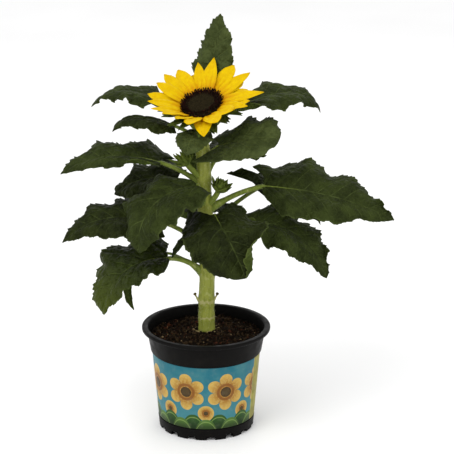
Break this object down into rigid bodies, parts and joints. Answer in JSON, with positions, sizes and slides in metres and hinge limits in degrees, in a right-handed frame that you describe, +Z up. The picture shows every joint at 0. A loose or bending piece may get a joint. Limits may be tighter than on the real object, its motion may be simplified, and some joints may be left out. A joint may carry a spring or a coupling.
{
  "type": "potted sunflower plant",
  "caption": "Young sunflower in a round black plastic pot: thick green stem, broad dark leaves on stalks, one open yellow bloom with a dark disc, and two side shoots in bud.",
  "frame": {"origin": "centre of the flat underside of the pot", "axes": "+Z up along the stem, -Y the side the open bloom leans towards, +X to the right seen from there"},
  "size_m": [0.3384, 0.2087, 0.4241],
  "materials": {
    "pot": "satin black, moulded",
    "pot_label": "printed film, blue with yellow rosettes",
    "soil": "loose moist potting mix",
    "stem": "living, fine-haired",
    "stalk": "living, fine-haired",
    "leaf": "living, matt, veined",
    "bract": "living, fine-haired",
    "ray": "living, grooved lengthwise",
    "disc": "living, densely tufted"
  },
  "bodies": {
    "root": {"pot": "pot", "pot_label": "pot_label", "soil": "soil", "stem": "stem", "bloom_bracts": "bract", "bloom_rays": "ray", "bloom_disc": "disc", "stalk_01": "stalk", "leaf_01": "leaf", "stalk_02": "stalk", "leaf_02": "leaf", "stalk_03": "stalk", "leaf_03": "leaf", "stalk_04": "stalk", "leaf_04": "leaf", "stalk_05": "stalk", "leaf_05": "leaf", "stalk_06": "stalk", "leaf_06": "leaf", "stalk_07": "stalk", "leaf_07": "leaf", "stalk_08": "stalk", "leaf_08": "leaf", "stalk_09": "stalk", "leaf_09": "leaf", "stalk_10": "stalk", "leaf_10": "leaf", "stalk_11": "stalk", "leaf_11": "leaf", "stalk_12": "stalk", "leaf_12": "leaf", "stalk_13": "stalk", "leaf_13": "leaf", "stalk_14": "stalk", "leaf_14": "leaf", "stalk_15": "stalk", "leaf_15": "leaf", "stalk_16": "stalk", "leaf_16": "leaf", "stalk_17": "stalk", "leaf_17": "leaf", "stalk_18": "stalk", "leaf_18": "leaf", "stalk_19": "stalk", "leaf_19": "leaf", "stalk_20": "stalk", "leaf_20": "leaf", "shoot_left": "stalk", "bud_left": "bract", "shoot_right": "stalk", "bud_right": "bract"}
  },
  "joints": []
}
